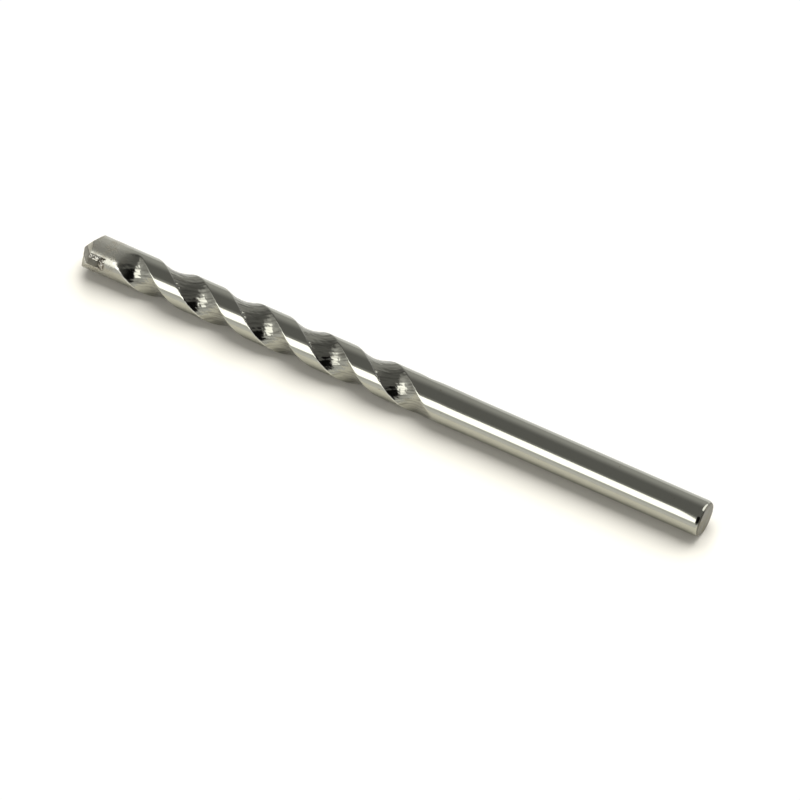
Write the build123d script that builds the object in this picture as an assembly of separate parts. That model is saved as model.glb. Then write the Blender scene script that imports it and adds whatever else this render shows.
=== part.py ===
from build123d import *
import os
from math import cos, radians, sin, sqrt, tan

# Masonry drill bit with a round shank, in millimetres.
# The axis lies along X and +X points to the point of the bit.
# The origin is the centre of the shank's end face.
# Roll angles are polar angles about X, from +Y towards +Z.

# Bar
OVERALL_LENGTH = 100.0
BODY_DIAMETER = 5.5
SHANK_DIAMETER = 5.4
SHANK_STEP_LENGTH = 1.0
SHANK_CHAMFER_LENGTH = 0.65
SHANK_CHAMFER_DEPTH = 0.3

# Flutes
FLUTE_COUNT = 2
FLUTE_LEAD_LENGTH = 21.55
FLUTE_WIDTH_ANGLE = 107.4
FLUTE_DEPTH = 0.67
FLUTE_ROLL = 280.1
HEAD_LENGTH = 5.8
RUN_IN_LENGTH = 3.7
WORKING_LENGTH = 59.0
RUN_OUT_LENGTH = 4.8
RUN_LIFT = 0.06
RUN_SECTIONS = 7
CUTTER_MARGIN = 0.4

# Carbide insert
CUTTING_DIAMETER = 6.0
INSERT_THICKNESS = 1.5
INSERT_HEIGHT = 3.8
INSERT_ROLL = 28.0
INSERT_BACK_TAPER = 1.5
INSERT_HEEL_CHAMFER = 0.35

# Ground point
POINT_ANGLE = 103.0
FLANK_SKEW_ANGLE = 18.6
BEVEL_ROLL = 127.2
UPPER_BEVEL_ANGLE = 40.3
LOWER_BEVEL_ANGLE = 24.0

# Braze
BRAZE_GAP = 0.08
BRAZE_STANDOFF = 0.07
BRAZE_LAP = 0.18
BRAZE_POOL_LENGTH = 0.8

# Worked out
BODY_RADIUS = BODY_DIAMETER / 2
SHANK_RADIUS = SHANK_DIAMETER / 2
CUTTING_RADIUS = CUTTING_DIAMETER / 2
FLUTE_START = OVERALL_LENGTH - HEAD_LENGTH
FLUTE_END = OVERALL_LENGTH - WORKING_LENGTH
FLUTE_TURN_PER_MM = 360 / FLUTE_LEAD_LENGTH
FLUTE_HALF_CHORD = BODY_RADIUS * sin(radians(FLUTE_WIDTH_ANGLE / 2))
FLUTE_CROWN_HEIGHT = BODY_RADIUS - FLUTE_DEPTH - BODY_RADIUS * cos(radians(FLUTE_WIDTH_ANGLE / 2))
FLUTE_CURVATURE = 2 * FLUTE_CROWN_HEIGHT / (FLUTE_HALF_CHORD**2 + FLUTE_CROWN_HEIGHT**2)
INSERT_SEAT = OVERALL_LENGTH - INSERT_HEIGHT
SLOT_FLOOR = INSERT_SEAT - BRAZE_GAP
SLOT_WIDTH = INSERT_THICKNESS + 2 * BRAZE_GAP
FLANK_ROLL = INSERT_ROLL + FLANK_SKEW_ANGLE
FLANK_ANGLE = 90 - POINT_ANGLE / 2
CORNER_DEPTH = CUTTING_RADIUS * tan(radians(FLANK_ANGLE)) * cos(radians(FLANK_SKEW_ANGLE))
POINT = Vector(OVERALL_LENGTH, 0, 0)


def rake_edge_roll(station):
    """Roll angle of the first flute's leading edge at a station along the axis."""
    return FLUTE_ROLL + FLUTE_TURN_PER_MM * station


def crown_fall(side):
    """How far the flute's floor falls from its middle to a distance beside it.

    The floor is one arc through both edges: crowned in a shallow flute, hollow in a deep one.
    """
    return FLUTE_CURVATURE * side**2 / (1 + sqrt(1 - (FLUTE_CURVATURE * side) ** 2))


def flute_section(station, width, centre_roll):
    """Cutter section whose curved edge leaves a flute of the given width angle.

    The section lifts clear of the bar as the flute narrows.
    """
    half_chord = BODY_RADIUS * sin(radians(width / 2))
    chord_height = BODY_RADIUS * cos(radians(width / 2))
    lift = RUN_LIFT * (1 - width / FLUTE_WIDTH_ANGLE)
    floor_height = chord_height + crown_fall(half_chord) + lift
    side = half_chord + CUTTER_MARGIN
    side_height = floor_height - crown_fall(side)
    with BuildSketch() as section:
        with BuildLine():
            ThreePointArc((side_height, -side), (floor_height, 0), (side_height, side))
            Polyline(
                (side_height, side),
                (BODY_DIAMETER, side),
                (BODY_DIAMETER, -side),
                (side_height, -side),
            )
        make_face()
    across = Plane(origin=(station, 0, 0), x_dir=(0, 1, 0), z_dir=(1, 0, 0))
    return (across * Rot(Z=centre_roll) * section.sketch).face()


def run_in_sections():
    """Sections from the head backwards: the leading edge holds its helix and the flute opens."""
    sections = []
    for step in range(RUN_SECTIONS):
        share = step / (RUN_SECTIONS - 1)
        station = FLUTE_START - share * RUN_IN_LENGTH
        width = FLUTE_WIDTH_ANGLE * sin(radians(90 * share))
        centre_roll = rake_edge_roll(station) + width / 2
        sections.append(flute_section(station, width, centre_roll))
    return sections


def run_out_sections():
    """Sections towards the shank: the heel edge holds its helix and the flute closes."""
    sections = []
    for step in range(RUN_SECTIONS):
        share = step / (RUN_SECTIONS - 1)
        station = FLUTE_END + (1 - share) * RUN_OUT_LENGTH
        width = FLUTE_WIDTH_ANGLE * cos(radians(90 * share))
        centre_roll = rake_edge_roll(station) + FLUTE_WIDTH_ANGLE - width / 2
        sections.append(flute_section(station, width, centre_roll))
    return sections


def full_flute():
    """Helical cutter of constant section between the run-in and the run-out."""
    start = FLUTE_END + RUN_OUT_LENGTH
    length = FLUTE_START - RUN_IN_LENGTH - start
    centre_roll = rake_edge_roll(start) + FLUTE_WIDTH_ANGLE / 2
    return Solid.extrude_linear_with_rotation(
        flute_section(start, FLUTE_WIDTH_ANGLE, centre_roll),
        center=(start, 0, 0),
        normal=(length, 0, 0),
        angle=length * FLUTE_TURN_PER_MM,
    )


def point_planes():
    """Ground faces that meet at the point: two equal flanks and two unequal side bevels."""
    grinds = [
        (FLANK_ROLL, FLANK_ANGLE),
        (FLANK_ROLL + 180, FLANK_ANGLE),
        (BEVEL_ROLL, UPPER_BEVEL_ANGLE),
        (BEVEL_ROLL + 180, LOWER_BEVEL_ANGLE),
    ]
    planes = []
    for roll, angle in grinds:
        outwards = Vector(0, cos(radians(roll)), sin(radians(roll)))
        planes.append(Plane(origin=POINT, z_dir=Vector(1, 0, 0) + outwards * tan(radians(angle))))
    return planes


def grind_point(piece):
    """Grind the end of a piece to the point."""
    for plane in point_planes():
        piece = split(piece, bisect_by=plane, keep=Keep.BOTTOM)
    return piece


def insert_blank(thickness, seat, reach):
    """Flat plate across the bit, turned to the insert's roll angle."""
    length = OVERALL_LENGTH - seat
    plate = Box(length, 2 * reach, thickness, align=(Align.MIN, Align.CENTER, Align.CENTER))
    return Rot(X=INSERT_ROLL) * Pos(X=seat) * plate


def bar_blank():
    """Turned bar: chamfered shank, a short taper up to the body, and the body."""
    with BuildSketch(Plane.XY) as half_section:
        with BuildLine():
            Polyline(
                (0, 0),
                (0, SHANK_RADIUS - SHANK_CHAMFER_DEPTH),
                (SHANK_CHAMFER_LENGTH, SHANK_RADIUS),
                (FLUTE_END - SHANK_STEP_LENGTH, SHANK_RADIUS),
                (FLUTE_END, BODY_RADIUS),
                (OVERALL_LENGTH, BODY_RADIUS),
                (OVERALL_LENGTH, 0),
                close=True,
            )
        make_face()
    return revolve(half_section.sketch, axis=Axis.X)


def drill_body():
    """Steel body: the turned bar with its flutes milled, its head slotted and its point ground."""
    body = bar_blank()
    cutters = [full_flute(), loft(run_in_sections()), loft(run_out_sections())]
    for index in range(FLUTE_COUNT):
        for cutter in cutters:
            body -= Rot(X=360 * index / FLUTE_COUNT) * cutter
    body -= insert_blank(SLOT_WIDTH, SLOT_FLOOR, BODY_DIAMETER)
    return grind_point(body)


def carbide_tip():
    """Tungsten carbide insert: full diameter at its corners, tapered behind them, ground to the point."""
    plate = insert_blank(INSERT_THICKNESS, INSERT_SEAT, CUTTING_DIAMETER)
    taper_length = INSERT_HEIGHT - CORNER_DEPTH
    seat_radius = CUTTING_RADIUS - taper_length * tan(radians(INSERT_BACK_TAPER))
    with BuildSketch(Plane.XY) as half_section:
        with BuildLine():
            Polyline(
                (INSERT_SEAT, 0),
                (INSERT_SEAT, seat_radius - INSERT_HEEL_CHAMFER),
                (INSERT_SEAT + INSERT_HEEL_CHAMFER, seat_radius),
                (OVERALL_LENGTH - CORNER_DEPTH, CUTTING_RADIUS),
                (OVERALL_LENGTH, CUTTING_RADIUS),
                (OVERALL_LENGTH, 0),
                close=True,
            )
        make_face()
    envelope = revolve(half_section.sketch, axis=Axis.X)
    return grind_point(plate & envelope)


def braze_seam():
    """Braze that fills the slot round the insert and laps onto the steel beside it."""
    lap_radius = BODY_RADIUS + BRAZE_STANDOFF
    lap_end = SLOT_FLOOR - BRAZE_POOL_LENGTH
    lap_length = OVERALL_LENGTH - lap_end
    along = (Align.CENTER, Align.CENTER, Align.MIN)
    outside = Pos(X=lap_end) * Rot(Y=90) * Cylinder(lap_radius, lap_length, align=along)
    steel = Pos(X=lap_end) * Rot(Y=90) * Cylinder(BODY_RADIUS, lap_length, align=along)
    fill = insert_blank(SLOT_WIDTH, SLOT_FLOOR, CUTTING_DIAMETER) & outside
    lap = insert_blank(SLOT_WIDTH + 2 * BRAZE_LAP, lap_end, CUTTING_DIAMETER) & outside
    seam = fill + (lap - steel)
    seam -= insert_blank(INSERT_THICKNESS, INSERT_SEAT, CUTTING_DIAMETER)
    return grind_point(seam)


os.makedirs("parts", exist_ok=True)
export_step(drill_body(), "parts/drill_body.step")
export_step(carbide_tip(), "parts/carbide_tip.step")
export_step(braze_seam(), "parts/braze_seam.step")
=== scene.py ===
"""Masonry drill bit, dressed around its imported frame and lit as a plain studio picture."""

import logging
import math
import random
from dataclasses import dataclass, field
from enum import Enum

import bmesh
import bpy
from mathutils import Matrix, Vector, noise


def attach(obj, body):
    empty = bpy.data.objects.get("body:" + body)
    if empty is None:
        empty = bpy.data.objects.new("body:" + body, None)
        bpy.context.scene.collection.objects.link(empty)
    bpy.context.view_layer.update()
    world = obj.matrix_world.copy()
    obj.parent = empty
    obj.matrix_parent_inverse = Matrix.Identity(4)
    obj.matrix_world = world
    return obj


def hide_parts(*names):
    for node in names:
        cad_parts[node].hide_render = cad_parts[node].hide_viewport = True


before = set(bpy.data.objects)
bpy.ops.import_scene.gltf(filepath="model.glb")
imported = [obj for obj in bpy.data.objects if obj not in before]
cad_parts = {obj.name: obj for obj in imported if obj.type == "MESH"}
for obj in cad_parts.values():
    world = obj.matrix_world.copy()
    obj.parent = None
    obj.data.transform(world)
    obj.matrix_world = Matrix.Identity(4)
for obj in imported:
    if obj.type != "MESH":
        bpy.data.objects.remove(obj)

LOG = logging.getLogger("drill_bit")
MM = 0.001
NOISE_MIDDLE = 0.5

# Distances in metres
WELD_DISTANCE = 1e-6
PACKED_WELD_DISTANCE = 1e-7
CUT_TOLERANCE = 1e-8

Colour = tuple[float, float, float, float]
Triple = tuple[float, float, float]
Socket = bpy.types.NodeSocket


class Slot(Enum):
    """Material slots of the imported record."""

    STEEL = "bar_steel"
    CARBIDE = "tungsten_carbide"
    BRAZE = "braze_alloy"


class Node(Enum):
    """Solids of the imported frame."""

    BODY = "drill_body"
    INSERT = "carbide_tip"
    BRAZE = "braze_seam"


class Mark(Enum):
    """Values stored on a piece's mesh for its finish to read."""

    FLUTE = "flute"
    # Mask of a painted highlight: bright colour along each leading edge, standing in for light caught
    # there
    TOOL = "tool"
    PAINTED_GLINT = "burr"
    GROUND = "ground"
    HOLLOW = "hollow"


@dataclass(frozen=True)
class Term:
    """A number inside a node tree. Each operation on it adds one Math node.

    Args:
        tree: The node tree that the number belongs to.
        socket: The output socket that carries it.
    """

    tree: bpy.types.NodeTree
    socket: Socket

    def apply(self, operation: str, *others: "Term | float") -> "Term":
        """Run one Math operation with this number as its first value.

        Args:
            operation: Name of the Math node's operation.
            others: The operation's further values.

        Returns:
            The result as a new term.
        """
        node = self.tree.nodes.new("ShaderNodeMath")
        node.operation = operation
        for socket, value in zip(node.inputs, (self, *others)):
            if isinstance(value, Term):
                self.tree.links.new(value.socket, socket)
            else:
                socket.default_value = value
        return Term(self.tree, node.outputs[0])

    def __add__(self, other: "Term | float") -> "Term":
        """Sum."""
        return self.apply("ADD", other)

    def __radd__(self, other: float) -> "Term":
        """Sum with a plain number on the left."""
        return self.apply("ADD", other)

    def __sub__(self, other: "Term | float") -> "Term":
        """Difference."""
        return self.apply("SUBTRACT", other)

    def __rsub__(self, other: float) -> "Term":
        """Difference with a plain number on the left."""
        return self.apply("MULTIPLY_ADD", -1.0, other)

    def __mul__(self, other: "Term | float") -> "Term":
        """Product."""
        return self.apply("MULTIPLY", other)

    def __rmul__(self, other: float) -> "Term":
        """Product with a plain number on the left."""
        return self.apply("MULTIPLY", other)

    def __truediv__(self, other: "Term | float") -> "Term":
        """Quotient."""
        return self.apply("DIVIDE", other)

    def limited(self, low: "Term | float" = 0.0, high: "Term | float" = 1.0) -> "Term":
        """The number held between two limits."""
        return self.apply("MAXIMUM", low).apply("MINIMUM", high)

    def eased(self) -> "Term":
        """The number held between 0 and 1, leaving and reaching both limits softly."""
        share = self.limited()
        return share * share * (3.0 - 2.0 * share)

    def sine(self) -> "Term":
        """Sine of an angle in degrees."""
        return (self * (math.pi / 180)).apply("SINE")

    def cosine(self) -> "Term":
        """Cosine of an angle in degrees."""
        return (self * (math.pi / 180)).apply("COSINE")

    def root(self) -> "Term":
        """Square root, with anything below zero taken as zero."""
        return self.apply("MAXIMUM", 0.0).apply("SQRT")


class TreeBuilder:
    """A node tree under construction."""

    def __init__(self, tree: bpy.types.NodeTree) -> None:
        """Take the tree to build on."""
        self.tree = tree

    def add(self, kind: str, **settings: object) -> bpy.types.Node:
        """Add a node of a kind and set its properties by name."""
        node = self.tree.nodes.new(kind)
        for key, value in settings.items():
            setattr(node, key, value)
        return node

    def link(self, source: Socket, target: Socket) -> None:
        """Join two sockets."""
        self.tree.links.new(source, target)

    def feed(self, node: bpy.types.Node, values: dict[str, object]) -> None:
        """Give a node its inputs by label: terms and sockets are linked, other values are set."""
        for label, value in values.items():
            if isinstance(value, Term):
                self.link(value.socket, node.inputs[label])
            elif isinstance(value, Socket):
                self.link(value, node.inputs[label])
            else:
                node.inputs[label].default_value = value

    def term(self, socket: Socket) -> Term:
        """An output socket as a term."""
        return Term(self.tree, socket)

    def axes(self, vector: Socket) -> list[Term]:
        """The three parts of a vector."""
        parts = self.add("ShaderNodeSeparateXYZ")
        self.link(vector, parts.inputs[0])
        return [self.term(part) for part in parts.outputs]


class RuleTree(TreeBuilder):
    """A Geometry Nodes tree with named number inputs that makes one piece."""

    def __init__(self, name: str, sizes: dict[str, float]) -> None:
        """Open an empty tree with one input for each size.

        Args:
            name: Name of the tree.
            sizes: Name and value of each input, in millimetres or degrees.
        """
        super().__init__(bpy.data.node_groups.new(name, "GeometryNodeTree"))
        self.sizes = sizes
        sockets = self.tree.interface
        sockets.new_socket("Geometry", in_out="OUTPUT", socket_type="NodeSocketGeometry")
        sockets.new_socket("Geometry", in_out="INPUT", socket_type="NodeSocketGeometry")
        for label, value in sizes.items():
            number = sockets.new_socket(label, in_out="INPUT", socket_type="NodeSocketFloat")
            number.default_value = value
        sockets.new_socket("Material", in_out="INPUT", socket_type="NodeSocketMaterial")
        self.entry = self.add("NodeGroupInput")

    def size(self, label: str) -> Term:
        """A named input as a term."""
        return self.term(self.entry.outputs[label])

    def vector(self, x: Term, y: Term, z: Term) -> Socket:
        """A vector from three terms."""
        merged = self.add("ShaderNodeCombineXYZ")
        for socket, value in zip(merged.inputs, (x, y, z)):
            self.link(value.socket, socket)
        return merged.outputs[0]

    def draw(self, key: Term, limits: tuple[float, float], seed: int) -> Term:
        """A random number between two limits for each whole key."""
        node = self.add("FunctionNodeRandomValue", data_type="FLOAT")
        # The limits of a plain number are the node's third and fourth inputs
        for socket, value in zip(node.inputs[2:4], limits):
            socket.default_value = value
        self.feed(node, {"ID": key, "Seed": seed})
        return self.term(node.outputs[1])

    def store(
        self,
        geometry: Socket,
        mark: Mark,
        value: Term | Socket,
        kind: str = "FLOAT",
    ) -> Socket:
        """Store a value on each point of a geometry, under a mark's name."""
        node = self.add("GeometryNodeStoreNamedAttribute", data_type=kind, domain="POINT")
        self.feed(node, {"Geometry": geometry, "Name": mark.value, "Value": value})
        return node.outputs[0]

    def close(self, geometry: Socket) -> None:
        """End the tree: real faces, the piece's material, then the output."""
        realize = self.add("GeometryNodeRealizeInstances")
        paint = self.add("GeometryNodeSetMaterial")
        out = self.add("NodeGroupOutput")
        self.link(geometry, realize.inputs[0])
        self.link(realize.outputs[0], paint.inputs[0])
        self.link(self.entry.outputs["Material"], paint.inputs["Material"])
        self.link(paint.outputs[0], out.inputs[0])

    def make(self, name: str, material: bpy.types.Material) -> bpy.types.Object:
        """Evaluate the tree into an object with a plain mesh.

        Args:
            name: Name of the new piece.
            material: Material of the piece.

        Returns:
            The piece, with no modifier left on it.
        """
        piece = add_object(name, bpy.data.meshes.new(name))
        modifier = piece.modifiers.new("rule", "NODES")
        modifier.node_group = self.tree
        values = {**self.sizes, "Material": material}
        for item in self.tree.interface.items_tree:
            if item.in_out == "INPUT" and item.name in values:
                modifier[item.identifier] = values[item.name]
        return freeze(piece)


def add_object(name: str, data: bpy.types.ID) -> bpy.types.Object:
    """Put a new object with its mesh, lamp or camera into the scene."""
    thing = bpy.data.objects.new(name, data)
    bpy.context.scene.collection.objects.link(thing)
    return thing


def freeze(piece: bpy.types.Object) -> bpy.types.Object:
    """Turn a piece's modifiers into plain mesh and remove them."""
    bpy.context.view_layer.update()
    ready = piece.evaluated_get(bpy.context.evaluated_depsgraph_get())
    mesh = bpy.data.meshes.new_from_object(ready)
    piece.modifiers.clear()
    piece.data = mesh
    mesh.name = piece.name
    return piece


def across(roll: float) -> Vector:
    """Unit vector across the axis at a roll angle in degrees."""
    return Vector((0.0, math.cos(math.radians(roll)), math.sin(math.radians(roll))))


@dataclass(frozen=True)
class BitSizes:
    """Sizes of the drill bit in millimetres and degrees, as in the CAD source."""

    overall_length: float = 100.0
    body_radius: float = 2.75
    shank_radius: float = 2.7
    chamfer_length: float = 0.65
    chamfer_depth: float = 0.3
    lead: float = 21.55
    flute_width: float = 107.4
    flute_depth: float = 0.67
    flute_roll: float = 280.1
    head_length: float = 5.8
    run_in: float = 3.7
    working_length: float = 59.0
    run_out: float = 4.8
    run_lift: float = 0.06
    cutting_radius: float = 3.0
    insert_thickness: float = 1.5
    insert_height: float = 3.8
    insert_roll: float = 28.0
    point_angle: float = 103.0
    flank_skew: float = 18.6
    bevel_roll: float = 127.2
    upper_bevel: float = 40.3
    lower_bevel: float = 24.0
    braze_gap: float = 0.08

    @property
    def insert_seat(self) -> float:
        """Station of the insert's inner end."""
        return self.overall_length - self.insert_height

    @property
    def slot_floor(self) -> float:
        """Station of the slot's floor."""
        return self.insert_seat - self.braze_gap

    def grinds(self) -> list[tuple[float, float]]:
        """Roll and angle of each ground face of the point."""
        flank_roll = self.insert_roll + self.flank_skew
        flank = 90 - self.point_angle / 2
        return [
            (flank_roll, flank),
            (flank_roll + 180, flank),
            (self.bevel_roll, self.upper_bevel),
            (self.bevel_roll + 180, self.lower_bevel),
        ]


@dataclass(frozen=True)
class Cloud:
    """A stretched noise, and the level from which it shows as a colour.

    Args:
        scale: Noise scale.
        stretch: Factor on each coordinate.
        start: Level at which its colour starts.
        contrast: How steeply the colour comes in above that level.
        detail: Detail of the noise.
    """

    scale: float
    stretch: Triple
    start: float = 0.0
    contrast: float = 1.0
    detail: float = 3.0

    def shown(self, value: Term) -> Term:
        """Share of the colour at a value of the noise."""
        return ((value - self.start) * self.contrast).limited()


@dataclass(frozen=True)
class WorkedMetal:
    """Cloudy stains and fine grain that all three metals share, as one shader group.

    The grain breaks up a stain's outline by the share `ragged`.
    """

    patch_detail: float = 4.0
    grain_detail: float = 3.0
    ragged: float = 0.35
    stain_from: float = 0.62
    stain_contrast: float = 6.0
    patch_roughness: float = 0.12
    grain_roughness: float = 0.1
    stain_roughness: float = 0.12
    patch_height: float = 0.4
    grain_height: float = 0.6

    def group(self) -> bpy.types.NodeTree:
        """Make the group when it is first asked for.

        Returns:
            The group, with a colour, a roughness change and a height as its outputs.
        """
        name = "worked_metal"
        if name in bpy.data.node_groups:
            return bpy.data.node_groups[name]
        nodes = TreeBuilder(bpy.data.node_groups.new(name, "ShaderNodeTree"))
        for label, way, kind in (
            ("Vector", "INPUT", "NodeSocketVector"),
            ("Base", "INPUT", "NodeSocketColor"),
            ("Stain", "INPUT", "NodeSocketColor"),
            ("Stain Share", "INPUT", "NodeSocketFloat"),
            ("Patch Scale", "INPUT", "NodeSocketFloat"),
            ("Grain Scale", "INPUT", "NodeSocketFloat"),
            ("Color", "OUTPUT", "NodeSocketColor"),
            ("Roughness Change", "OUTPUT", "NodeSocketFloat"),
            ("Height", "OUTPUT", "NodeSocketFloat"),
        ):
            nodes.tree.interface.new_socket(label, in_out=way, socket_type=kind)
        entry = nodes.add("NodeGroupInput").outputs
        clouds = []
        for label, detail in (("Patch Scale", self.patch_detail), ("Grain Scale", self.grain_detail)):
            cloud = nodes.add("ShaderNodeTexNoise")
            nodes.feed(cloud, {"Vector": entry["Vector"], "Scale": entry[label], "Detail": detail})
            clouds.append(nodes.term(cloud.outputs["Fac"]))
        patch, grain = clouds
        stain = ((patch + grain * self.ragged - self.stain_from) * self.stain_contrast).limited()
        share = (stain * nodes.term(entry["Stain Share"])).limited()
        mix = nodes.add("ShaderNodeMix", data_type="RGBA")
        nodes.feed(mix, {"Factor": share, "A": entry["Base"], "B": entry["Stain"]})
        change = (
            (patch - NOISE_MIDDLE) * self.patch_roughness
            + (grain - NOISE_MIDDLE) * self.grain_roughness
            + share * self.stain_roughness
        )
        height = grain * self.grain_height + patch * self.patch_height
        out = nodes.add("NodeGroupOutput")
        nodes.feed(out, {"Color": mix.outputs["Result"], "Roughness Change": change, "Height": height})
        return nodes.tree


class Paint(TreeBuilder):
    """A material under construction, around one Principled shader."""

    roughness_limits = (0.04, 0.9)
    edge_samples = 4

    def __init__(self, name: str, metallic: float) -> None:
        """Open a material."""
        self.material = bpy.data.materials.new(name)
        self.material.use_nodes = True
        super().__init__(self.material.node_tree)
        self.shader = self.tree.nodes["Principled BSDF"]
        self.shader.inputs["Metallic"].default_value = metallic
        self.place = self.add("ShaderNodeTexCoord").outputs["Object"]

    def mask(self, mark: Mark) -> Term:
        """A number stored on the mesh."""
        return self.term(self.add("ShaderNodeAttribute", attribute_name=mark.value).outputs["Fac"])

    def noise(self, source: Socket, cloud: Cloud) -> Term:
        """The value of a noise on a vector."""
        stretch = self.add("ShaderNodeMapping")
        self.feed(stretch, {"Vector": source, "Scale": cloud.stretch})
        node = self.add("ShaderNodeTexNoise")
        self.feed(node, {"Vector": stretch.outputs[0], "Scale": cloud.scale, "Detail": cloud.detail})
        return self.term(node.outputs["Fac"])

    def mix(self, share: Term, first: Colour | Socket, second: Colour) -> Socket:
        """Blend two colours by the share of the second."""
        node = self.add("ShaderNodeMix", data_type="RGBA")
        self.feed(node, {"Factor": share, "A": first, "B": second})
        return node.outputs["Result"]

    def metal(
        self,
        base: Colour | Socket,
        stain: Colour,
        share: float | Term,
        scales: tuple[float, float],
    ) -> tuple[Term, Term]:
        """Feed Base Color from the shared group.

        Args:
            base: Colour of the clean metal, or a socket that carries it.
            stain: Colour of its stains.
            share: How far the stains cover the metal.
            scales: Scale of the stains and of the grain, per metre.

        Returns:
            The change in roughness and the height of the grain.
        """
        group = self.add("ShaderNodeGroup", node_tree=WorkedMetal().group())
        patch_scale, grain_scale = scales
        self.feed(
            group,
            {
                "Vector": self.place,
                "Base": base,
                "Stain": stain,
                "Stain Share": share,
                "Patch Scale": patch_scale,
                "Grain Scale": grain_scale,
            },
        )
        self.link(group.outputs["Color"], self.shader.inputs["Base Color"])
        return self.term(group.outputs["Roughness Change"]), self.term(group.outputs["Height"])

    def finish(
        self, rough: Term, height: Term, depth: float, edge: float, diffuse: Term | None = None
    ) -> bpy.types.Material:
        """Feed Roughness and Normal, and close the material.

        Args:
            rough: Roughness.
            height: Height of the surface detail.
            depth: Depth of a height of 1, in millimetres.
            edge: Radius to which sharp edges look worn, in millimetres.
            diffuse: Share of the surface that scatters light like a dull film.

        Returns:
            The finished material.
        """
        worn = self.add("ShaderNodeBevel", samples=self.edge_samples)
        worn.inputs["Radius"].default_value = edge * MM
        relief = self.add("ShaderNodeBump")
        self.feed(relief, {"Distance": depth * MM, "Normal": worn.outputs[0], "Height": height})
        rough = rough.limited(*self.roughness_limits)
        self.feed(self.shader, {"Roughness": rough, "Normal": relief.outputs[0]})
        if diffuse is not None:
            self.feed(self.shader, {"Metallic": 1.0 - diffuse})
        return self.material


@dataclass(frozen=True)
class SteelFinish:
    """Polished bar, milled flutes, and a head and ground faces left matt by brazing and grinding.

    Lengths are in millimetres. Bright is the steel outside the head and the ground faces, and matt
    is the steel on them.
    """

    clean: Colour = (0.385, 0.384, 0.328, 1.0)
    milled: Colour = (0.315, 0.313, 0.267, 1.0)
    smeared: Colour = (0.185, 0.182, 0.154, 1.0)
    # Painted highlight: colour of the bright line along each leading edge, standing in for light
    # caught by the edge
    burr: Colour = (0.62, 0.613, 0.56, 1.0)
    speck: Colour = (0.2, 0.16, 0.1, 1.0)
    sawn: Colour = (0.17, 0.168, 0.144, 1.0)
    heated: Colour = (0.345, 0.339, 0.29, 1.0)
    stain: Colour = (0.27, 0.247, 0.188, 1.0)
    streaks: Cloud = Cloud(2.2, (1.0, 0.16, 1.0), 0.47, 5.0)
    specks: Cloud = Cloud(2600.0, (0.6, 1.0, 1.0), 0.735, 30.0)
    lines: Cloud = Cloud(260.0, (22.0, 1.0, 1.0))
    scales: tuple[float, float] = (900.0, 6500.0)
    bright_stain: float = 0.06
    matt_stain: float = 0.5
    land_roughness: float = 0.09
    flute_roughness: float = 0.115
    head_roughness: float = 0.19
    ground_roughness: float = 0.42
    bright_unevenness: float = 0.3
    matt_unevenness: float = 1.2
    streak_roughness: float = 0.16
    head_film: float = 0.27
    head_from: float = 91.5
    head_blend: float = 3.0
    line_height: float = 0.12
    streak_height: float = 4.0
    bright_grain: float = 0.05
    matt_grain: float = 3.4
    relief_depth: float = 0.006
    worn_edge: float = 0.035

    def material(self) -> bpy.types.Material:
        """Build the steel material."""
        paint = Paint("bar_steel_polished", 1.0)
        station = paint.axes(paint.place)[0] / MM
        flute, ground = paint.mask(Mark.FLUTE), paint.mask(Mark.GROUND)
        head = ((station - self.head_from) / self.head_blend).limited()
        matt = head.apply("MAXIMUM", ground)
        tool = paint.add("ShaderNodeAttribute", attribute_name=Mark.TOOL.value).outputs["Vector"]
        streak = paint.noise(tool, self.streaks)
        line = paint.noise(paint.place, self.lines)
        dots = paint.noise(paint.place, self.specks)

        colour = paint.mix(flute, self.clean, self.milled)
        colour = paint.mix(self.streaks.shown(streak) * flute, colour, self.smeared)
        colour = paint.mix(matt, colour, self.heated)
        colour = paint.mix(ground * (1.0 - head), colour, self.sawn)
        # Painted highlight along each leading edge
        colour = paint.mix(paint.mask(Mark.PAINTED_GLINT), colour, self.burr)
        colour = paint.mix(self.specks.shown(dots), colour, self.speck)
        stained = matt * self.matt_stain + self.bright_stain
        change, grain = paint.metal(colour, self.stain, stained, self.scales)

        rough = self.land_roughness + flute * (self.flute_roughness - self.land_roughness)
        rough = rough + head * (self.head_roughness - rough)
        rough = rough + ground * (self.ground_roughness - rough)
        rough = rough + change * (matt * self.matt_unevenness + self.bright_unevenness)
        rough = rough + (streak - NOISE_MIDDLE) * flute * self.streak_roughness
        height = (
            line * (1.0 - flute) * self.line_height
            + streak * flute * self.streak_height
            + grain * (matt * self.matt_grain + self.bright_grain)
        )
        return paint.finish(rough, height, self.relief_depth, self.worn_edge, head * self.head_film)


@dataclass(frozen=True)
class CarbideFinish:
    """Sintered carbide: dark, matt and finely grained, with grinding lines."""

    clean: Colour = (0.14, 0.136, 0.115, 1.0)
    stain: Colour = (0.098, 0.09, 0.068, 1.0)
    lines: Cloud = Cloud(1500.0, (1.0, 1.0, 9.0))
    scales: tuple[float, float] = (1500.0, 9000.0)
    metallic: float = 0.9
    stained: float = 0.6
    roughness: float = 0.38
    unevenness: float = 1.2
    line_height: float = 0.5
    grain_height: float = 0.7
    relief_depth: float = 0.006
    worn_edge: float = 0.03

    def material(self) -> bpy.types.Material:
        """Build the carbide material."""
        paint = Paint("tungsten_carbide_ground", self.metallic)
        line = paint.noise(paint.place, self.lines)
        change, grain = paint.metal(self.clean, self.stain, self.stained, self.scales)
        rough = change * self.unevenness + self.roughness
        height = grain * self.grain_height + line * self.line_height
        return paint.finish(rough, height, self.relief_depth, self.worn_edge)


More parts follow.
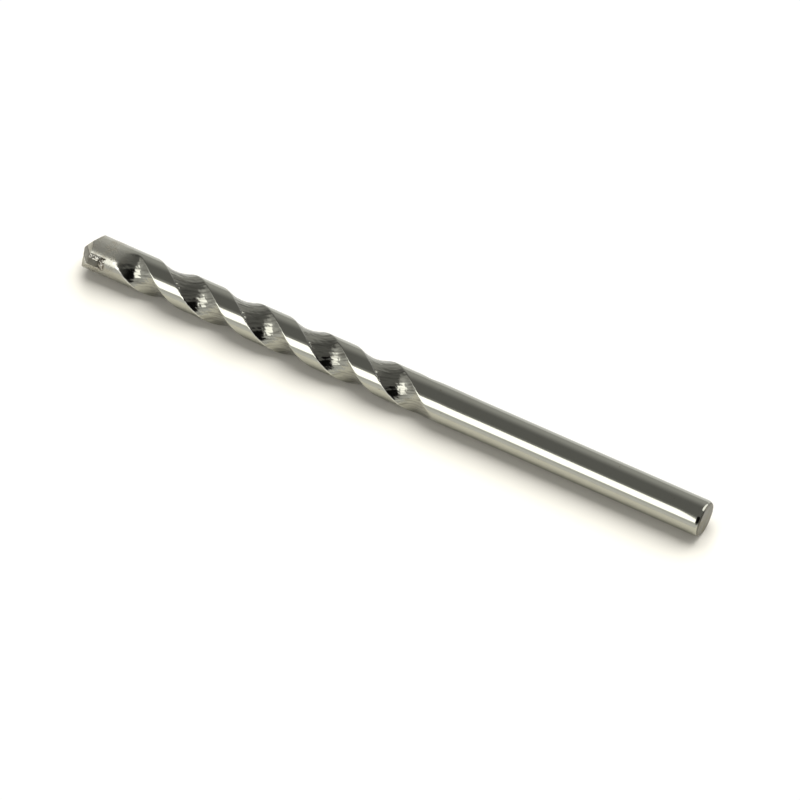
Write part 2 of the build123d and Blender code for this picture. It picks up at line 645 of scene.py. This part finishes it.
@dataclass(frozen=True)
class BrazeFinish:
    """Braze as it flowed: bright skin with dark flux left in its hollows."""

    clean: Colour = (0.63, 0.615, 0.547, 1.0)
    stain: Colour = (0.05, 0.043, 0.03, 1.0)
    burnt: Colour = (0.08, 0.064, 0.042, 1.0)
    scales: tuple[float, float] = (1700.0, 6000.0)
    metallic: float = 0.95
    skin_stain: float = 0.3
    hollow_stain: float = 0.6
    roughness: float = 0.13
    hollow_roughness: float = 0.25
    unevenness: float = 1.5
    relief_depth: float = 0.02
    worn_edge: float = 0.02

    def material(self) -> bpy.types.Material:
        """Build the braze material."""
        paint = Paint("braze_alloy_flowed", self.metallic)
        hollow = paint.mask(Mark.HOLLOW)
        colour = paint.mix(hollow, self.clean, self.burnt)
        stained = hollow * self.hollow_stain + self.skin_stain
        change, grain = paint.metal(colour, self.stain, stained, self.scales)
        rough = change * self.unevenness + hollow * self.hollow_roughness + self.roughness
        return paint.finish(rough, grain, self.relief_depth, self.worn_edge)


@dataclass
class FlutedBar:
    """Steel body: one bar with shank, flutes, milling marks, slot and ground point.

    Lengths are in millimetres and angles in degrees. The rows are those of the chamfer, the shank,
    the step, the flutes and the head, and the columns crowd at the flutes' edges. The painted glint
    is a painted highlight: bright colour along each leading edge that stands in for light caught
    there. A mark's skew and a smear's turn are for each degree across the flute, and the second
    flute's steps give it marks and smears of its own.
    """

    sizes: BitSizes
    finish: SteelFinish = field(default_factory=SteelFinish)
    flute_columns: int = 60
    land_columns: int = 16
    rows: tuple[int, ...] = (10, 12, 4, 524, 8)
    crowding: float = 0.6
    grinding_stock: float = 0.5
    step_blend: float = 5.0
    chamfer_round: float = 1.8
    edge_round: float = 0.1
    flute_contrast: float = 12.0
    # Width of the painted highlight along each leading edge, and the least flute width that gets it
    painted_glint_width: float = 0.07
    painted_glint_from: float = 1.0
    mark_pitch: float = 0.675
    mark_skew: float = 0.039
    mark_depth: float = 0.026
    mark_strength: tuple[float, float] = (0.55, 1.25)
    mark_seed: int = 7
    smear_turn: float = 0.045
    smear_depth: float = 0.09
    smear_detail: float = 2.0
    second_flute_mark: float = 1000.0
    second_flute_smear: float = 7.0
    sharp_angle: float = 22.0
    ground_slope: float = 0.55

    def inputs(self) -> dict[str, float]:
        """Named inputs of the rule."""
        bit = self.sizes
        return {
            "Overall Length": bit.overall_length,
            "Body Radius": bit.body_radius,
            "Shank Radius": bit.shank_radius,
            "Step Length": self.step_blend,
            "Chamfer Length": bit.chamfer_length,
            "Chamfer Depth": bit.chamfer_depth,
            "Chamfer Round": self.chamfer_round,
            "Flute Lead": bit.lead,
            "Flute Width": bit.flute_width,
            "Flute Depth": bit.flute_depth,
            "Flute Roll": bit.flute_roll,
            "Head Length": bit.head_length,
            "Run In": bit.run_in,
            "Working Length": bit.working_length,
            "Run Out": bit.run_out,
            "Run Lift": bit.run_lift,
            "Edge Round": self.edge_round,
            "Burr Width": self.painted_glint_width,
            "Mark Pitch": self.mark_pitch,
            "Mark Skew": self.mark_skew,
            "Mark Depth": self.mark_depth,
            "Smear Turn": self.smear_turn,
            "Smear Depth": self.smear_depth,
        }

    def rule(self) -> RuleTree:
        """Build the tree whose grid is wrapped into the fluted bar."""
        rule = RuleTree("fluted_bar_rule", self.inputs())
        size = rule.size
        columns = 2 * (self.flute_columns + self.land_columns)
        grid = rule.add("GeometryNodeMeshGrid")
        counts = {"Vertices X": sum(self.rows) + 1, "Vertices Y": columns + 1}
        rule.feed(grid, {"Size X": 1.0, "Size Y": 1.0, **counts})
        along, around, _ = rule.axes(rule.add("GeometryNodeInputPosition").outputs[0])
        start = size("Overall Length") - size("Head Length")
        end = size("Overall Length") - size("Working Length")
        station = self.station(rule, along + 0.5, start, end)
        angle, half = self.column_angle(rule, around + 0.5)
        twist = station.limited(end, start) * 360.0 / size("Flute Lead")
        roll = size("Flute Roll") + twist + angle + half * 180.0

        floor, off_centre, width = self.flute_floor(rule, station, angle, start, end)
        scallops, smears, path = self.marks(rule, station, angle, half)
        floor = floor - scallops + smears
        bar = self.bar(rule, station, end)
        radius = bar.apply("SMOOTH_MIN", floor, size("Edge Round"))
        cut = bar - floor
        flute = (cut * self.flute_contrast).limited()
        # Mask of the painted highlight: a bright line of colour along each full flute's leading edge
        leading = (0.0 - off_centre).apply("GREATER_THAN", 0.0)
        leading = leading * width.apply("GREATER_THAN", self.painted_glint_from)
        burr = (1.0 - cut.apply("ABSOLUTE") / size("Burr Width")).limited() * leading

        shape = rule.store(grid.outputs["Mesh"], Mark.FLUTE, flute)
        shape = rule.store(shape, Mark.TOOL, path, "FLOAT_VECTOR")
        shape = rule.store(shape, Mark.PAINTED_GLINT, burr)
        place = rule.vector(station * MM, radius * roll.cosine() * MM, radius * roll.sine() * MM)
        move = rule.add("GeometryNodeSetPosition")
        rule.feed(move, {"Geometry": shape, "Position": place})
        weld = rule.add("GeometryNodeMergeByDistance")
        rule.feed(weld, {"Geometry": move.outputs[0], "Distance": WELD_DISTANCE})
        rule.close(weld.outputs[0])
        return rule

    def station(self, rule: RuleTree, along: Term, start: Term, end: Term) -> Term:
        """Place of each grid row along the axis, with the rows of each stretch set by `rows`.

        Args:
            rule: The tree that is being built.
            along: Share of the grid's rows, from 0 to 1.
            start: Station where the flutes start at the head.
            end: Station where the flutes end at the shank.

        Returns:
            The station in millimetres.
        """
        chamfer, step = rule.size("Chamfer Length"), rule.size("Step Length")
        head = rule.size("Head Length") + self.grinding_stock
        stretches = [chamfer, end - step - chamfer, step, start - end, head]
        total = sum(self.rows)
        passed = 0
        station = along * 0.0
        for length, count in zip(stretches, self.rows):
            share = ((along * total - passed) / count).limited()
            station = station + share * length
            passed += count
        return station

    def column_angle(self, rule: RuleTree, around: Term) -> tuple[Term, Term]:
        """Angle of each grid column from its flute's leading edge, and 0 or 1 for that flute."""
        turn = 2.0 * around
        half = turn.apply("FLOOR").limited(0.0, 1.0)
        share = turn - half
        flute_share = self.flute_columns / (self.flute_columns + self.land_columns)
        in_flute = self.crowded((share / flute_share).limited())
        on_land = self.crowded(((share - flute_share) / (1 - flute_share)).limited())
        width = rule.size("Flute Width")
        return width * in_flute + (180.0 - width) * on_land, half

    def crowded(self, share: Term) -> Term:
        """A share from 0 to 1 that moves slowly near both ends, so columns crowd at the edges."""
        return share - (share * 360.0).sine() * (self.crowding / (2 * math.pi))

    def flute_floor(
        self, rule: RuleTree, station: Term, angle: Term, start: Term, end: Term
    ) -> tuple[Term, Term, Term]:
        """The flute's floor: one arc between its edges, which close at the head and at the shank.

        Args:
            rule: The tree that is being built.
            station: Place along the axis.
            angle: Angle from the flute's leading edge.
            start: Station where the flutes start at the head.
            end: Station where the flutes end at the shank.

        Returns:
            Distance of the floor from the axis, angle from the flute's middle, and width angle.
        """
        size = rule.size
        full, body = size("Flute Width"), size("Body Radius")
        opening = ((start - station) / size("Run In")).limited()
        closing = ((end + size("Run Out") - station) / size("Run Out")).limited()
        width = full * (opening * 90.0).sine() * (closing * 90.0).cosine()
        centre = width * 0.5 + (full - width) * closing.apply("GREATER_THAN", 0.0)
        off_centre = (angle - centre + 90.0).apply("FLOORED_MODULO", 180.0) - 90.0
        full_chord = body * (full * 0.5).sine()
        crown = body * (1.0 - (full * 0.5).cosine()) - size("Flute Depth")
        bow = (full_chord * full_chord + crown * crown) / (crown * 2.0)
        half_chord = body * (width * 0.5).sine()
        middle = (
            body * (width * 0.5).cosine()
            - (bow * bow - half_chord * half_chord).root()
            + size("Run Lift") * (1.0 - width / full)
        )
        sideways = middle * off_centre.sine()
        distance = middle * off_centre.cosine() + (bow * bow - sideways * sideways).root()
        return distance, off_centre, width

    def marks(
        self, rule: RuleTree, station: Term, angle: Term, half: Term
    ) -> tuple[Term, Term, Socket]:
        """What the milling cutter left across a flute.

        Args:
            rule: The tree that is being built.
            station: Place along the axis.
            angle: Angle from the flute's leading edge.
            half: 0 or 1 for the first or second flute.

        Returns:
            Depth of the scallops, height of the smears, and the place in the cutter's own grid.
        """
        size = rule.size
        phase = (station + angle * size("Mark Skew")) / size("Mark Pitch")
        number = phase.apply("FLOOR") + half * self.second_flute_mark
        strength = rule.draw(number, self.mark_strength, self.mark_seed)
        scallops = (phase.apply("FRACT") * 180.0).sine() * size("Mark Depth") * strength
        path = rule.vector(phase, angle * size("Smear Turn"), half * self.second_flute_smear)
        smear = rule.add("ShaderNodeTexNoise")
        rule.feed(smear, {"Vector": path, "Scale": 1.0, "Detail": self.smear_detail})
        smears = (rule.term(smear.outputs["Fac"]) - NOISE_MIDDLE) * size("Smear Depth")
        return scallops, smears, path

    def bar(self, rule: RuleTree, station: Term, end: Term) -> Term:
        """Distance of the turned bar's surface from the axis, before milling."""
        size = rule.size
        left = 1.0 - (station / size("Chamfer Length")).limited()
        chamfer = size("Chamfer Depth") * left.apply("POWER", size("Chamfer Round"))
        rise = ((station - end) / size("Step Length") + 1.0).limited()
        return size("Shank Radius") - chamfer + (size("Body Radius") - size("Shank Radius")) * rise

    def build(self) -> bpy.types.Object:
        """Make the steel body and put it in place of its solid.

        Returns:
            The steel body.
        """
        bit = self.sizes
        piece = self.rule().make("steel_body", self.finish.material())
        shape = bmesh.new()
        shape.from_mesh(piece.data)
        bmesh.ops.remove_doubles(shape, verts=shape.verts, dist=WELD_DISTANCE)
        bmesh.ops.holes_fill(shape, edges=[e for e in shape.edges if e.is_boundary])
        grind_point(shape, bit)
        bmesh.ops.recalc_face_normals(shape, faces=shape.faces)
        shape.to_mesh(piece.data)
        shape.free()

        slot = slot_cutter(bit)
        cut = piece.modifiers.new("slot", "BOOLEAN")
        cut.object = slot
        cut.operation = "DIFFERENCE"
        cut.solver = "EXACT"
        freeze(piece)
        bpy.data.objects.remove(slot)
        ground = piece.data.attributes.new(Mark.GROUND.value, "FLOAT", "FACE")
        for face in piece.data.polygons:
            ground.data[face.index].value = float(abs(face.normal.x) > self.ground_slope)
        return dress(piece, self.sharp_angle, Slot.STEEL, Node.BODY)


def slot_cutter(bit: BitSizes, overshoot: float = 1.0) -> bpy.types.Object:
    """Flat plate that cuts the insert's slot and ends past the point by an overshoot."""
    length = bit.overall_length + overshoot - bit.slot_floor
    diameter = 2 * bit.body_radius
    thickness = bit.insert_thickness + 2 * bit.braze_gap
    shape = bmesh.new()
    bmesh.ops.create_cube(shape, size=1.0)
    for vertex in shape.verts:
        x, y, z = vertex.co
        vertex.co = (bit.slot_floor + (x + 0.5) * length, y * 2 * diameter, z * thickness)
    turn = Matrix.Rotation(math.radians(bit.insert_roll), 4, "X")
    bmesh.ops.transform(shape, matrix=Matrix.Scale(MM, 4) @ turn, verts=shape.verts)
    mesh = bpy.data.meshes.new("slot_cutter")
    shape.to_mesh(mesh)
    shape.free()
    return add_object("slot_cutter", mesh)


def grind_point(shape: bmesh.types.BMesh, bit: BitSizes) -> None:
    """Cut a closed mesh to the ground faces of the point and close each cut."""
    apex = Vector((bit.overall_length * MM, 0.0, 0.0))
    for roll, angle in bit.grinds():
        normal = Vector((1.0, 0.0, 0.0)) + across(roll) * math.tan(math.radians(angle))
        bmesh.ops.bisect_plane(
            shape,
            geom=[*shape.verts, *shape.edges, *shape.faces],
            dist=CUT_TOLERANCE,
            plane_co=apex,
            plane_no=normal,
            clear_outer=True,
        )
        bmesh.ops.holes_fill(shape, edges=[e for e in shape.edges if e.is_boundary])


def dress(piece: bpy.types.Object, sharp: float, slot: Slot, node: Node) -> bpy.types.Object:
    """Shade a finished piece and tie it to the frame.

    Args:
        piece: The finished piece.
        sharp: Angle in degrees above which an edge stays sharp.
        slot: The record's slot for its finish. It is not used.
        node: The solid that it stands for.

    Returns:
        The same piece.
    """
    piece.data.shade_smooth()
    piece.data.set_sharp_from_angle(angle=math.radians(sharp))
    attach(piece, "root")
    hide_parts(node.value)
    return piece


def packed_copy(
    name: str, node: Node, material: bpy.types.Material, flat_angle: float = 2.0
) -> bpy.types.Object:
    """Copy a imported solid, with its split vertices merged and its flat faces whole.

    Args:
        name: Name of the new piece.
        node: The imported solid.
        material: Material of the piece.
        flat_angle: Angle in degrees below which neighbouring faces count as one flat face.

    Returns:
        The copy.
    """
    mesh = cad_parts[node.value].data.copy()
    mesh.materials.clear()
    mesh.materials.append(material)
    limit = math.radians(flat_angle)
    shape = bmesh.new()
    shape.from_mesh(mesh)
    bmesh.ops.remove_doubles(shape, verts=shape.verts, dist=PACKED_WELD_DISTANCE)
    bmesh.ops.dissolve_limit(shape, angle_limit=limit, verts=shape.verts, edges=shape.edges)
    shape.to_mesh(mesh)
    shape.free()
    return add_object(name, mesh)


@dataclass
class CarbideInsert:
    """The carbide plate, with edges worn round."""

    finish: CarbideFinish = field(default_factory=CarbideFinish)
    edge: float = 0.03
    segments: int = 2
    edge_angle: float = 20.0
    sharp_angle: float = 30.0

    def build(self) -> bpy.types.Object:
        """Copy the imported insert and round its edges.

        Returns:
            The insert.
        """
        piece = packed_copy("carbide_insert", Node.INSERT, self.finish.material())
        bevel = piece.modifiers.new("worn_edge", "BEVEL")
        bevel.width = self.edge * MM
        bevel.segments = self.segments
        bevel.limit_method = "ANGLE"
        bevel.angle_limit = math.radians(self.edge_angle)
        freeze(piece)
        return dress(piece, self.sharp_angle, Slot.CARBIDE, Node.INSERT)


@dataclass(frozen=True)
class DropRow:
    """Drops of braze along one long edge of the insert.

    Args:
        side: 1 or -1 for the side of the plate on which they lie.
        near: Smallest distance from the plate's middle, round the bit, in millimetres.
        far: Largest distance.
        scale: Factor on the drops' size.
        lift: Height of a drop's top above the cutting radius.
    """

    side: int
    near: float
    far: float
    scale: float
    lift: float


@dataclass
class BrazeBead:
    """Braze round the insert: an uneven skin that sinks below the steel's surface in places.

    Lengths are in millimetres and angles in degrees. Patches are the coarse swellings and grains
    the fine ones on them, and none rises above `highest`. The skin is burnt from `burn_reach` in
    front of the slot's floor, and thins out behind that floor. Deeper than `skin_depth` below the
    body's surface, and on the ground faces, it is left as packed.
    """

    sizes: BitSizes
    finish: BrazeFinish = field(default_factory=BrazeFinish)
    voxel: float = 0.04
    drop_rows: tuple[DropRow, ...] = (
        DropRow(1, 0.4, 0.95, 1.0, 0.05),
        DropRow(-1, 0.78, 0.9, 0.5, -0.09),
    )
    drops: int = 22
    drop_size: float = 0.22
    smallest_drop: float = 0.5
    drop_stretch: float = 1.5
    drop_start: float = 0.1
    drop_run: float = 1.4
    drop_seed: int = 5
    skin_depth: float = 0.05
    ground_slope: float = 0.6
    patch: float = 0.75
    grain: float = 0.16
    fine_share: float = 0.6
    swell: float = 0.1
    sink: float = 0.015
    thinning: float = 0.11
    highest: float = 0.05
    burn_reach: float = 0.15
    burn_contrast: float = 6.0
    burn_level: float = 0.75
    burn_patches: float = 2.0
    hollow_contrast: float = 0.5
    sharp_angle: float = 60.0

    def build(self) -> bpy.types.Object:
        """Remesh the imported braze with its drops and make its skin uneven.

        Returns:
            The braze.
        """
        piece = packed_copy("braze_bead", Node.BRAZE, self.finish.material())
        self.add_drops(piece.data)
        skin = piece.modifiers.new("skin", "REMESH")
        skin.mode = "VOXEL"
        skin.voxel_size = self.voxel * MM
        freeze(piece)
        self.roughen(piece.data)
        return dress(piece, self.sharp_angle, Slot.BRAZE, Node.BRAZE)

    def add_drops(self, mesh: bpy.types.Mesh) -> None:
        """Add the drops that ran over the insert's edges, before the skin merges them."""
        bit = self.sizes
        draw = random.Random(self.drop_seed)
        stretch = Matrix.Diagonal((self.drop_stretch, 1.0, 1.0, 1.0))
        shape = bmesh.new()
        shape.from_mesh(mesh)
        for row in self.drop_rows:
            for number in range(self.drops):
                size = self.drop_size * row.scale * draw.uniform(self.smallest_drop, 1.0)
                aside = row.side * draw.uniform(row.near, row.far)
                place = across(bit.insert_roll + math.degrees(aside / bit.cutting_radius))
                place *= bit.cutting_radius - size + row.lift
                place.x = bit.insert_seat + self.drop_start + self.drop_run * number / self.drops
                flat = Matrix.Translation(place * MM) @ stretch
                bmesh.ops.create_icosphere(shape, subdivisions=2, radius=size * MM, matrix=flat)
        shape.to_mesh(mesh)
        shape.free()

    def roughen(self, mesh: bpy.types.Mesh) -> None:
        """Swell and sink the outer skin, and mark its hollows and its burnt end."""
        hollow = mesh.attributes.new(Mark.HOLLOW.value, "FLOAT", "POINT")
        inner = self.sizes.body_radius - self.skin_depth
        slot_floor = self.sizes.slot_floor
        # The normals are read before the first vertex moves, because each move renews them all
        slopes = [abs(vertex.normal.x) for vertex in mesh.vertices]
        for vertex, mark, slope in zip(mesh.vertices, hollow.data, slopes):
            point = vertex.co / MM
            radius = math.hypot(point.y, point.z)
            if radius < inner or slope > self.ground_slope:
                continue
            coarse = noise.noise(point / self.patch)
            fine = noise.noise(point / self.grain)
            behind = max(0.0, slot_floor - point.x)
            rise = self.swell * (coarse + self.fine_share * fine) - self.sink - self.thinning * behind
            rise = min(rise, self.highest)
            burnt = min(
                (slot_floor + self.burn_reach - point.x) * self.burn_contrast,
                self.burn_level + self.burn_patches * fine,
            )
            mark.value = min(1.0, max(0.0, burnt, -rise / self.swell * self.hollow_contrast))
            vertex.co.yz = vertex.co.yz * (1 + rise / radius)


@dataclass(frozen=True)
class Floor:
    """The floor: pale beside the bit, where it takes the shadow, and white away from it.

    The pale stretch starts under the bit and ends one reach in front of it and one reach past both
    of its ends. It turns white over one more reach. Lengths are in metres.

    Args:
        colour: Colour of the pale stretch.
        drop: Distance of the floor below the bit's axis.
        half_width: Distance of the floor's edges from its middle.
        half_bit: Half of the bit's length, and the station of its middle.
        reach: Width of the pale stretch in front of the bit.
        white: Strength of the white. It is just above 1, so that faint grain stays white.
    """

    colour: Colour = (0.68, 0.658, 0.595, 1.0)
    drop: float = 0.00275
    half_width: float = 2.0
    half_bit: float = 0.05
    reach: float = 0.01
    white: float = 1.04

    def build(self) -> None:
        """Lay the floor."""
        shape = bmesh.new()
        bmesh.ops.create_grid(shape, x_segments=1, y_segments=1, size=self.half_width)
        mesh = bpy.data.meshes.new("floor")
        shape.to_mesh(mesh)
        shape.free()
        mesh.transform(Matrix.Translation((self.half_bit, 0.0, -self.drop)))
        mesh.materials.append(self.material())
        add_object("floor", mesh)

    def material(self) -> bpy.types.Material:
        """Pale for every ray beside the bit, and white elsewhere for the camera, metal and glass.

        Returns:
            The material.
        """
        material = bpy.data.materials.new("floor_white")
        material.use_nodes = True
        nodes = TreeBuilder(material.node_tree)
        nodes.tree.nodes.clear()
        pale = nodes.add("ShaderNodeBsdfDiffuse")
        pale.inputs["Color"].default_value = self.colour
        white = nodes.add("ShaderNodeEmission")
        white.inputs["Strength"].default_value = self.white
        path = nodes.add("ShaderNodeLightPath").outputs
        seen = nodes.term(path["Is Camera Ray"])
        for ray in ("Is Glossy Ray", "Is Transmission Ray"):
            seen = seen + nodes.term(path[ray])
        along, aside, _ = nodes.axes(nodes.add("ShaderNodeTexCoord").outputs["Object"])
        beyond = (along - self.half_bit).apply("ABSOLUTE") - self.half_bit
        behind = self.reach - aside
        away = aside.apply("MAXIMUM", beyond).apply("MAXIMUM", behind)
        far = ((away - self.reach) / self.reach).eased()
        mix = nodes.add("ShaderNodeMixShader")
        nodes.link((far * seen.limited()).socket, mix.inputs["Fac"])
        nodes.link(pale.outputs[0], mix.inputs[1])
        nodes.link(white.outputs[0], mix.inputs[2])
        out = nodes.add("ShaderNodeOutputMaterial")
        nodes.link(mix.outputs[0], out.inputs["Surface"])
        return material


@dataclass(frozen=True)
class KeyLamp:
    """The large soft lamp overhead, behind the bit. It makes the shadow, not a reflection."""

    side: Triple = (0.05, -0.48, 0.88)
    width: float = 0.9
    length: float = 0.9
    distance: float = 0.9
    watts: float = 15.5

    def build(self, target: Vector) -> None:
        """Hang the lamp so that it shines at a target."""
        data = bpy.data.lights.new("key_lamp", "AREA")
        data.shape = "RECTANGLE"
        data.size = self.width
        data.size_y = self.length
        data.energy = self.watts
        lamp = add_object("key_lamp", data)
        direction = Vector(self.side).normalized()
        lamp.location = target + direction * self.distance
        lamp.rotation_euler = direction.to_track_quat("Z", "Y").to_euler()
        lamp.visible_glossy = False


@dataclass(frozen=True)
class Patch:
    """A patch of the surround with round corners.

    Args:
        roll: Lowest and highest roll angle in degrees.
        axial: Lowest and highest part of the direction along the bit.
        soft: Share of the patch that its soft edge takes up.
        level: Radiance inside it.
        skew: Shift of the axial limits for each degree of roll from the patch's middle.
        corner: Power of its outline: 2 makes an oval, and more makes it squarer.
    """

    roll: tuple[float, float]
    axial: tuple[float, float]
    soft: float
    level: float
    skew: float = 0.0
    corner: float = 4.0

    def mask(self, roll: Term, axial: Term) -> Term:
        """1 inside the patch and 0 outside it, for a direction's roll angle and axial part."""
        inside = 1.0
        axial = axial - (roll - sum(self.roll) / 2) * self.skew
        for value, (low, high) in ((roll, self.roll), (axial, self.axial)):
            off = (value - (low + high) / 2) / ((high - low) / 2)
            inside = inside - off.apply("ABSOLUTE").apply("POWER", self.corner)
        return (inside / self.soft).limited()


@dataclass(frozen=True)
class Surround:
    """What polished steel shows of the room, as the radiance of each direction.

    A direction has a roll angle about the bit's axis, 0 towards the front and 90 upwards, and an
    axial part along the bit, positive towards its point. The front ends at a roll angle that leans
    with the axial part, and it is dimmer towards the point. The room behind starts at another, and
    the ceiling lies between them.
    """

    ceiling: float = 0.225
    front: float = 0.9
    back: float = 0.6
    front_roll: float = 41.0
    front_lean: float = 90.0
    front_blend: float = 28.0
    point_from: float = 0.68
    point_blend: float = 0.12
    point_loss: float = 0.4
    back_roll: float = 112.0
    back_blend: float = 48.0
    camera_dark: Patch = Patch((11.0, 58.0), (-0.85, 0.08), 0.15, 0.01, 0.001)
    strip: Patch = Patch((12.0, 53.0), (0.13, 0.6), 0.4, 3.2, 0.0045)
    shank_lamp: Patch = Patch((104.0, 176.0), (-0.72, -0.3), 0.5, 2.2)

    def build(self) -> None:
        """Make the world from these directions."""
        world = bpy.data.worlds.new("surround")
        world.use_nodes = True
        nodes = TreeBuilder(world.node_tree)
        axial, side, height = nodes.axes(nodes.add("ShaderNodeTexCoord").outputs["Generated"])
        roll = height.apply("ARCTAN2", side) * (180 / math.pi)

        front = ((self.front_roll + axial * self.front_lean - roll) / self.front_blend).eased()
        dim = ((axial - self.point_from) / self.point_blend).eased() * self.point_loss
        front = front * (1.0 - dim)
        back = ((roll - self.back_roll) / self.back_blend).eased()
        level = self.ceiling + front * (self.front - self.ceiling)
        level = level + back * (self.back - self.ceiling)
        for patch in (self.camera_dark, self.strip, self.shank_lamp):
            level = level + patch.mask(roll, axial) * (patch.level - level)
        nodes.link(level.socket, nodes.tree.nodes["Background"].inputs["Color"])
        bpy.context.scene.world = world


@dataclass(frozen=True)
class Studio:
    """The photograph's camera, with the floor, the lamp and the surround, in metres."""

    location: Triple = (-0.177674, 0.415311, 0.647174)
    target: Triple = (0.047120, 0.002233, 0.0)
    lens: float = 255.2
    sensor: float = 36.0
    clip_start: float = 0.01
    floor: Floor = Floor()
    key_lamp: KeyLamp = KeyLamp()
    surround: Surround = Surround()

    def build(self) -> None:
        """Set up the camera, the floor, the lamp and the surround."""
        scene = bpy.context.scene
        target = Vector(self.target)
        view = bpy.data.cameras.new("photo_view")
        view.lens = self.lens
        view.sensor_width = self.sensor
        view.clip_start = self.clip_start
        camera = add_object("photo_view", view)
        camera.location = self.location
        camera.rotation_euler = (target - camera.location).to_track_quat("-Z", "Y").to_euler()
        scene.camera = camera
        scene.view_settings.view_transform = "Standard"
        self.floor.build()
        self.key_lamp.build(target)
        self.surround.build()


def main() -> None:
    """Build the studio and the pieces in order."""
    logging.basicConfig(level=logging.INFO, format="%(name)s: %(message)s")
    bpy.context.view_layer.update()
    Studio().build()
    bit = BitSizes()
    pieces = [FlutedBar(bit).build(), CarbideInsert().build(), BrazeBead(bit).build()]
    for piece in pieces:
        LOG.info("%s: %d faces", piece.name, len(piece.data.polygons))


if __name__ == "__main__":
    main()
